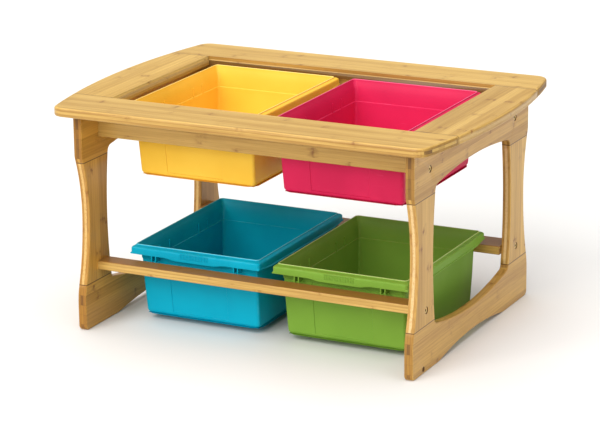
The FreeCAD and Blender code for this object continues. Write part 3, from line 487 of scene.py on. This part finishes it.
def frame_looks():
    """One material for each kind of board and fitting; their plies start at the boards' faces."""
    leg_low, leg_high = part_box("left_front_leg")
    base_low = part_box("right_base_board")[0]
    top_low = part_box("top_back_board")[0]
    panel_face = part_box("right_front_leg")[0][X]
    apron_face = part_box("back_apron")[0][Y]
    rail_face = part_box("back_lower_rail")[0][Z]
    # painted shade in the counterbores and key sockets round the bolt heads
    bores = [(y, z, COUNTERBORE) for y, z in bolt_centres()]
    sockets = [(y, z, BOLT_SOCKET) for y, z in bolt_centres()]
    # painted shade in the hole near the foot of the right base board
    foot_hole = (base_low[Y] + FOOT_HOLE_INSET, base_low[Z] + FOOT_HOLE_HEIGHT, FOOT_HOLE)
    panel_seams = [(Z, leg_low[Z]), (Z, leg_high[Z])]
    top_seam = [(Y, top_low[Y])]
    return {
        "long_top": bamboo("bamboo_long_top", X, Y, Z, top_low[Z], top_seam, edge_shade=0.46),
        "short_top": bamboo("bamboo_short_top", Y, X, Z, top_low[Z], top_seam,
                            (0.98, 0.97, 0.94), edge_shade=0.08, cream=0.3),
        "right_panel": bamboo("bamboo_right_panel", Y, Z, X, panel_face, panel_seams,
                              (0.93, 0.86, 0.80), bores + [foot_hole]),
        # painted light: the left panel is tinted darker and more orange than the right, as painted
        # warm bounce light and shade on its inner face
        "left_panel": bamboo("bamboo_left_panel", Y, Z, X, panel_face, panel_seams,
                             (0.90, 0.75, 0.49), bores),
        "right_leg": bamboo("bamboo_right_leg", Z, Y, X, panel_face, panel_seams,
                            (1.02, 0.98, 1.00), bores, cream=0.75),
        # painted light: the left legs are tinted darker and more orange than the right, as painted
        # warm bounce light and shade on their inner faces
        "left_leg": bamboo("bamboo_left_leg", Z, Y, X, panel_face, panel_seams,
                           (0.92, 0.79, 0.56), bores, cream=0.9),
        "apron": bamboo("bamboo_apron", X, Z, Y, apron_face, (), (0.90, 0.88, 0.86)),
        # the rails' broad faces are darkened as painted shade under the table top and tubs
        "rail": bamboo("bamboo_rail", X, Y, Z, rail_face, (), (0.95, 0.95, 0.97),
                       painted_face_shade=0.88, edge_shade=0.12),
        "dowel": plain_beech("beech"),
        "bolt": plated_metal("yellow_passivated_steel", PASSIVATED_YELLOW, PASSIVATED_BROWN,
                             0.3, sockets),
        "nut": plated_metal("bright_zinc", ZINC_BRIGHT, ZINC_DULL, 0.3),
    }


def finish_frame():
    """Every board and fitting of the frame, in its own material."""
    looks = frame_looks()
    kinds = {
        "long_top": ["top_front_board", "top_back_board"],
        "short_top": ["top_left_board", "top_right_board"],
        "left_panel": ["left_upper_board", "left_base_board"],
        "right_panel": ["right_upper_board", "right_base_board"],
        "left_leg": ["left_front_leg", "left_back_leg"],
        "right_leg": ["right_front_leg", "right_back_leg"],
        "apron": ["front_apron", "back_apron", "front_tub_ledge", "back_tub_ledge"],
        "rail": ["front_lower_rail", "back_lower_rail"],
        "dowel": ["top_frame_dowels", "top_fixing_dowels", "left_panel_dowels",
                  "right_panel_dowels", "apron_dowels", "rail_dowels"],
        "bolt": ["apron_bolts", "rail_bolts"],
        "nut": ["apron_barrel_nuts", "rail_barrel_nuts", "ledge_screws"],
    }
    for kind, nodes in kinds.items():
        for node in nodes:
            finished_copy(node, "frame", looks[kind])


# ---------------------------------------------------------------- storage tubs

CORNER_ROUND = 6 * MM
CORNER_CUTS = 6
LONG_CUTS = 30
SHORT_CUTS = 8
TUB_ANGLE = 38

# how far each step of the mould lies inside the one before, (along, across) the tub
RIDGE_IN = Vector((10 * MM, 11 * MM))
NECK_IN = Vector((5.7 * MM, 6 * MM))
TAPER = Vector((4 * MM, 13 * MM))

WALL = 3 * MM
FOOT_ROUND = 9 * MM
LIP = 2.7 * MM

# (inwards, down from the top) in millimetres: out below the rim, round its skirt and back to
# the ridge, and then the ridge that runs round the mouth
RIM_PROFILE = [(6.6, 7.0), (5.4, 8.0), (5.0, 10.0), (4.8, 15.0), (4.8, 17.6), (3.6, 18.5),
               (0.9, 18.5), (0.1, 18.1), (0.0, 17.3), (0.5, 16.5), (2.2, 15.6), (2.7, 14.4),
               (2.7, 9.0), (2.8, 7.2), (3.3, 5.8), (4.3, 4.7), (5.8, 3.9), (7.6, 3.3)]
RIDGE_PROFILE = [(-1.3, 2.4), (-1.0, 0.7), (-0.4, 0.1), (0.3, 0.0), (0.9, 0.5), (1.2, 1.6)]

# heights, measured down from the top
RIDGE_FOOT_DROP = 6.5 * MM
THROAT_DROP = 8 * MM
NECK_DROP = 21 * MM
SHELF_DROP = 43 * MM
PANEL_DROP = 34 * MM
SKIRT_TOP_DROP = 14 * MM
SKIRT_FOOT_DROP = 19 * MM

# the rim and its grips
RIM_BAND = 6 * MM
LIP_END = 13 * MM
SKIRT_DIP = 3.5 * MM
GRIP_HALF = 62 * MM
GRIP_BULGE = 2 * MM
GRIP_RIBS_EACH_WAY = 9
GRIP_RIB_PITCH = 3.4 * MM
GRIP_RIB_HALF = 0.9 * MM
RIB_PROUD = 1 * MM

# the wall's panels, gussets and inner ribs
PANEL_FOOT = 8 * MM
END_PANEL = (-65 * MM, 57 * MM)
SIDE_PANEL_HALF = 120 * MM
GUSSET_X = 92 * MM
GUSSET_GAP = 9 * MM
GUSSET_HALF = 1.25 * MM
GUSSET_LEAN = 7 * MM
SIDE_RIB_Y = (62 * MM, 102 * MM)
SIDE_RIB_HALF = 1.3 * MM

# bright, deep and pale colour of each tub; the pale one is for rubbed wear, scuffs and the painted
# highlight along the ridge
TUB_COLOURS = {
    "yellow": ((0.92, 0.56, 0.060, 1), (0.86, 0.50, 0.045, 1), (0.98, 0.78, 0.28, 1)),
    "pink": ((0.67, 0.018, 0.088, 1), (0.58, 0.014, 0.074, 1), (0.92, 0.18, 0.36, 1)),
    "teal": ((0.0, 0.37, 0.52, 1), (0.0, 0.315, 0.455, 1), (0.20, 0.64, 0.74, 1)),
    "green": ((0.205, 0.375, 0.045, 1), (0.172, 0.33, 0.037, 1), (0.62, 0.70, 0.28, 1)),
}


def tub_rings(half_x, half_y, height):
    """Outlines from the foot up the outside, over the rim and down the inside, each as
    (half length, half depth, height). The rim's outer edge is at half_x and half_y."""
    rim = Vector((half_x, half_y + LIP))
    ridge = Vector((half_x, half_y)) - RIDGE_IN
    neck = ridge - NECK_IN
    foot = neck - TAPER
    neck_z = height - NECK_DROP
    shelf_z = height - SHELF_DROP

    def ring(outline, inward, z):
        return (outline.x - inward, outline.y - inward, z)

    rings = []
    for angle in (0, 22, 45, 68, 90):
        inward = FOOT_ROUND * (1 - math.sin(math.radians(angle)))
        rings.append(ring(foot, inward, FOOT_ROUND * (1 - math.cos(math.radians(angle)))))
    rings += [ring(foot.lerp(neck, 0.45), 0, neck_z * 0.5),
              ring(foot.lerp(neck, 0.90), 1.0 * MM, neck_z - 11 * MM),
              ring(foot.lerp(neck, 0.91), 0, neck_z - 10 * MM),
              ring(neck, 0, neck_z),
              ring(ridge, 0.6 * MM, height - RIDGE_FOOT_DROP)]
    rings += [ring(rim, inward * MM, height - drop * MM) for inward, drop in RIM_PROFILE]
    rings += [ring(ridge, inward * MM, height - drop * MM) for inward, drop in RIDGE_PROFILE]
    rings += [ring(ridge, WALL, height - THROAT_DROP),
              ring(neck, WALL, neck_z),
              ring(foot.lerp(neck, 0.84), WALL, shelf_z),
              ring(foot.lerp(neck, 0.82), WALL + 1.3 * MM, shelf_z - 1.3 * MM)]
    inner = FOOT_ROUND - WALL
    for angle in (90, 60, 30, 0):
        inward = inner * (1 - math.sin(math.radians(angle))) + WALL
        rings.append(ring(foot, inward + 0.9 * MM,
                          inner * (1 - math.cos(math.radians(angle))) + WALL))
    return rings


SELECT_MODES = {"verts": "VERT", "edges": "EDGE", "faces": "FACE"}


def middle_of(part, kind):
    if kind == "verts":
        return part.co
    if kind == "edges":
        return (part.verts[0].co + part.verts[1].co) / 2
    return part.calc_center_median()


def select_where(piece, kind, wanted):
    """In edit mode, select the verts, edges or faces whose middle passes a test."""
    mesh = bmesh.from_edit_mesh(piece.data)
    for part in [*mesh.verts, *mesh.edges, *mesh.faces]:
        part.select = False
    mesh.select_mode = {SELECT_MODES[kind]}
    for part in getattr(mesh, kind):
        part.select = wanted(middle_of(part, kind), part)
    mesh.select_flush_mode()
    bmesh.update_edit_mesh(piece.data)


def tub_shell(half_x, half_y, height):
    """Draw the foot's outline, then raise it ring by ring into one closed shell."""
    rings = tub_rings(half_x, half_y, height)
    first_x, first_y, first_z = rings[0]
    deselect()
    bpy.ops.mesh.primitive_plane_add(size=2, location=(0, 0, first_z))
    tub = bpy.context.object
    bpy.ops.object.transform_apply(location=True, rotation=True, scale=True)
    bpy.ops.object.mode_set(mode="EDIT")
    bpy.ops.mesh.select_all(action="SELECT")
    bpy.ops.transform.resize(value=(first_x, first_y, 1), center_override=(0, 0, 0))
    bpy.ops.mesh.bevel(offset=CORNER_ROUND, segments=CORNER_CUTS, affect="VERTICES")
    select_where(tub, "edges", lambda middle, edge: abs(middle.x) < 1 * MM)
    bpy.ops.mesh.subdivide(number_cuts=LONG_CUTS)
    select_where(tub, "edges", lambda middle, edge: abs(middle.y) < 1 * MM)
    bpy.ops.mesh.subdivide(number_cuts=SHORT_CUTS)
    bpy.ops.mesh.select_all(action="SELECT")
    bpy.ops.mesh.flip_normals()
    mesh = bmesh.from_edit_mesh(tub.data)
    mesh.select_mode = {"EDGE"}
    bmesh.update_edit_mesh(tub.data)
    select_where(tub, "edges", lambda middle, edge: edge.is_boundary)
    before = rings[0]
    for ring in rings[1:]:
        bpy.ops.mesh.extrude_edges_move(
            TRANSFORM_OT_translate={"value": (0, 0, ring[Z] - before[Z])})
        bpy.ops.transform.resize(value=(ring[X] / before[X], ring[Y] / before[Y], 1),
                                 center_override=(0, 0, 0))
        before = ring
    bpy.ops.mesh.edge_face_add()
    bpy.ops.object.mode_set(mode="OBJECT")
    return tub


def shape_rim(tub, half_x, half_y, height):
    """Swell the grips, drop the skirt at the grips and along the sides, and keep the lip to
    the sides."""
    for vertex in tub.data.vertices:
        spot = vertex.co
        drop = height - spot.z
        near_end = abs(spot.y) > half_y - RIM_BAND
        near_side = abs(spot.x) > half_x - RIM_BAND
        if abs(spot.y) > half_y:
            spot.y = math.copysign(half_y, spot.y)
        if abs(spot.y) > half_y - LIP_END and abs(spot.x) > half_x - LIP:
            spot.x = math.copysign(half_x - LIP, spot.x)
        if near_end and abs(spot.x) < GRIP_HALF and drop < SKIRT_FOOT_DROP:
            swell = 1 - (spot.x / GRIP_HALF) ** 2
            spot.y += math.copysign((GRIP_BULGE - RIB_PROUD) * swell, spot.y)
            if drop > SKIRT_TOP_DROP:
                spot.z -= SKIRT_DIP * min(1, swell * 2.2)
        elif near_side and SKIRT_TOP_DROP < drop < SKIRT_FOOT_DROP:
            from_end = (half_y - 7 * MM - abs(spot.y)) / (5 * MM)
            spot.z -= SKIRT_DIP * max(0.0, min(1.0, from_end))


def raise_panels(tub, half_x, half_y, height):
    """A moulded panel on each end and side, and the shallow steps of the floor."""
    take(tub)
    bpy.ops.object.mode_set(mode="EDIT")
    top = height - PANEL_DROP
    for side in (-1, 1):
        select_where(tub, "faces", lambda middle, face: (
            side * middle.y > half_y * 0.7 and face.normal.y * side > 0.8
            and END_PANEL[0] < middle.x * -side < END_PANEL[1] and PANEL_FOOT < middle.z < top))
        bpy.ops.mesh.inset(thickness=0.8 * MM, depth=-1.3 * MM)
        select_where(tub, "faces", lambda middle, face: (
            side * middle.x > half_x * 0.7 and face.normal.x * side > 0.8
            and abs(middle.y) < SIDE_PANEL_HALF and PANEL_FOOT < middle.z < top))
        bpy.ops.mesh.inset(thickness=1.2 * MM, depth=0.7 * MM)
    select_where(tub, "faces", lambda middle, face: (
        middle.z < 0.5 * MM and abs(face.normal.z) > 0.9))
    bpy.ops.mesh.inset(thickness=7 * MM, depth=0)
    bpy.ops.mesh.inset(thickness=1.5 * MM, depth=-1 * MM)
    select_where(tub, "faces", lambda middle, face: (
        abs(middle.z - WALL) < 0.5 * MM and face.normal.z > 0.9))
    bpy.ops.mesh.inset(thickness=9 * MM, depth=0)
    bpy.ops.mesh.inset(thickness=1.2 * MM, depth=0.8 * MM)
    bpy.ops.object.mode_set(mode="OBJECT")


def bar_between(start, end, edge):
    """A small bar with rounded edges between two opposite corners, given in any order."""
    low = Vector([min(pair) for pair in zip(start, end)])
    high = Vector([max(pair) for pair in zip(start, end)])
    deselect()
    bpy.ops.mesh.primitive_cube_add(size=1, location=(low + high) / 2, scale=high - low)
    bar = bpy.context.object
    bpy.ops.object.transform_apply(location=True, rotation=True, scale=True)
    bpy.ops.object.mode_set(mode="EDIT")
    bpy.ops.mesh.select_all(action="SELECT")
    bpy.ops.mesh.bevel(offset=edge, segments=2, affect="EDGES")
    bpy.ops.object.mode_set(mode="OBJECT")
    return bar


def gusset(x, side, neck_y, half_y, height):
    """A rib under the rim whose upper inner corners lean out with the wall."""
    bar = bar_between((x - GUSSET_HALF, side * (neck_y - 2.4 * MM), height - 31 * MM),
                      (x + GUSSET_HALF, side * (half_y - 0.6 * MM), height - THROAT_DROP),
                      0.5 * MM)
    bpy.ops.object.mode_set(mode="EDIT")
    select_where(bar, "verts", lambda spot, vertex: (
        abs(spot.y) < neck_y and spot.z > height - 20 * MM))
    bpy.ops.transform.translate(value=(0, side * GUSSET_LEAN, 0))
    bpy.ops.object.mode_set(mode="OBJECT")
    return bar


def tub_bars(half_x, half_y, height):
    """Gussets under the rim, grip ridges, and stacking ribs inside the side walls."""
    bars = []
    neck_x = half_x - RIDGE_IN.x - NECK_IN.x
    neck_y = half_y - RIDGE_IN.y - NECK_IN.y
    for side in (-1, 1):
        for end in (-1, 1):
            for step in (-0.5, 0.5):
                x = end * GUSSET_X + step * GUSSET_GAP
                bars.append(gusset(x, side, neck_y, half_y, height))
            for out in SIDE_RIB_Y:
                y = side * out
                bars.append(bar_between(
                    (end * (neck_x - 5.4 * MM), y - SIDE_RIB_HALF, height - 78 * MM),
                    (end * (neck_x - 1.6 * MM), y + SIDE_RIB_HALF, height - 24 * MM),
                    0.8 * MM))
        for step in range(-GRIP_RIBS_EACH_WAY, GRIP_RIBS_EACH_WAY + 1):
            x = step * GRIP_RIB_PITCH
            face = half_y + (GRIP_BULGE - RIB_PROUD) * (1 - (x / GRIP_HALF) ** 2)
            bars.append(bar_between(
                (x - GRIP_RIB_HALF, side * (face - 4 * MM), height - 16 * MM),
                (x + GRIP_RIB_HALF, side * (face + RIB_PROUD), height - 5.4 * MM),
                0.5 * MM))
    return bars


def model_tub(half_x, half_y, height):
    """One finished tub, standing on the origin."""
    tub = tub_shell(half_x, half_y, height)
    shape_rim(tub, half_x, half_y, height)
    raise_panels(tub, half_x, half_y, height)
    bars = tub_bars(half_x, half_y, height)
    deselect()
    for bar in bars:
        bar.select_set(True)
    tub.select_set(True)
    bpy.context.view_layer.objects.active = tub
    bpy.ops.object.join()
    smooth(tub, TUB_ANGLE)
    return tub


def add_tubs():
    """Model one tub to the frame's size, and set a copy in each place in its own colour."""
    low, high = (Vector(corner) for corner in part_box("yellow_tub"))
    half = (high - low) / 2
    model = model_tub(half.x, half.y - GRIP_BULGE, high.z - low.z)
    for colour, shades in TUB_COLOURS.items():
        node = colour + "_tub"
        low, high = (Vector(corner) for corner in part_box(node))
        place = Vector(((low.x + high.x) / 2, (low.y + high.y) / 2, low.z))
        tub = model.copy()
        tub.data = model.data.copy()
        tub.name = node + "_moulded"
        bpy.context.scene.collection.objects.link(tub)
        tub.data.transform(Matrix.Translation(place))
        tub.data.materials.clear()
        tub.data.materials.append(
            moulded_plastic(colour + "_polypropylene", *shades, high.z))
        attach(tub, node)
        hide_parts(node)
    bpy.data.objects.remove(model)


add_camera()
add_stage()
finish_frame()
add_tubs()
